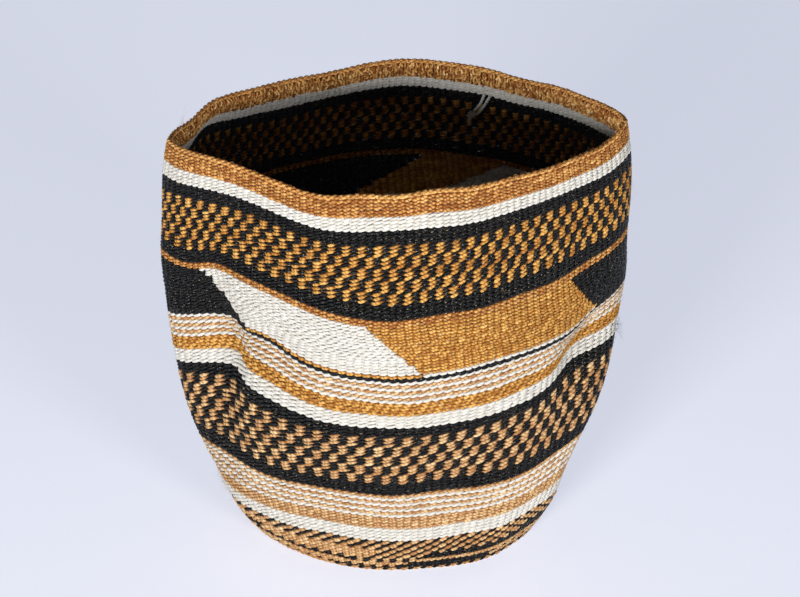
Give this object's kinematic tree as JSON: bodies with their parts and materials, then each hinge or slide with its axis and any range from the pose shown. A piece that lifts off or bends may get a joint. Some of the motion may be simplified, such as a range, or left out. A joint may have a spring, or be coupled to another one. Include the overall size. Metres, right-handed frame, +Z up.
{
  "type": "kiondo basket",
  "caption": "Slack hand-twined sisal basket with a flat base, a turned rim and bands of white, black, tan and golden yarn, with checks, stripes and slit-woven panels.",
  "frame": {"origin": "on the floor, under the middle of the basket's own box, the tie inside not counted", "axes": "+Z up through the mouth, -Y towards the front with the white and ochre panels, +X to the right as seen from the front"},
  "size_m": [0.2776, 0.2482, 0.2932],
  "materials": {
    "ochre_yarn": "matt, coarse, uneven hand-spun sisal",
    "white_yarn": "matt, slightly silky bleached sisal",
    "black_yarn": "satin dyed sisal with a grey sheen",
    "golden_yarn": "matt, golden, uneven dye",
    "tan_yarn": "matt, terracotta tan",
    "golden_and_black_yarn": "checked, matt",
    "tan_and_black_yarn": "checked, matt",
    "tan_and_white_yarn": "striped, matt",
    "ochre_and_black_yarn": "mottled, matt",
    "undyed_sisal": "matt, undyed"
  },
  "bodies": {
    "root": {"rim_cord": "ochre_yarn", "rim_band": "ochre_yarn", "ochre_line": "ochre_yarn", "base_inner_ring": "ochre_yarn", "upper_white_band": "white_yarn", "middle_white_band": "white_yarn", "lower_white_band": "white_yarn", "front_white_panel": "white_yarn", "back_white_panel": "white_yarn", "tie_twine": "white_yarn", "tie_strand": "white_yarn", "tie_knot": "white_yarn", "upper_black_band": "black_yarn", "shoulder_black_band": "black_yarn", "panel_underline": "black_yarn", "middle_black_band": "black_yarn", "lower_black_band": "black_yarn", "base_black_ring": "black_yarn", "right_black_panel": "black_yarn", "left_black_panel": "black_yarn", "golden_band": "golden_yarn", "front_ochre_panel": "golden_yarn", "back_ochre_panel": "golden_yarn", "tan_band": "tan_yarn", "upper_check_band": "golden_and_black_yarn", "lower_check_band": "tan_and_black_yarn", "upper_stripes": "tan_and_white_yarn", "lower_stripes": "tan_and_white_yarn", "marbled_band": "ochre_and_black_yarn", "base_outer_ring": "ochre_and_black_yarn", "base_centre": "undyed_sisal", "warp_bundle_01": "undyed_sisal", "warp_bundle_02": "undyed_sisal", "warp_bundle_03": "undyed_sisal", "warp_bundle_04": "undyed_sisal", "warp_bundle_05": "undyed_sisal", "warp_bundle_06": "undyed_sisal", "warp_bundle_07": "undyed_sisal", "warp_bundle_08": "undyed_sisal", "warp_bundle_09": "undyed_sisal", "warp_bundle_10": "undyed_sisal", "warp_bundle_11": "undyed_sisal", "warp_bundle_12": "undyed_sisal"}
  },
  "joints": []
}
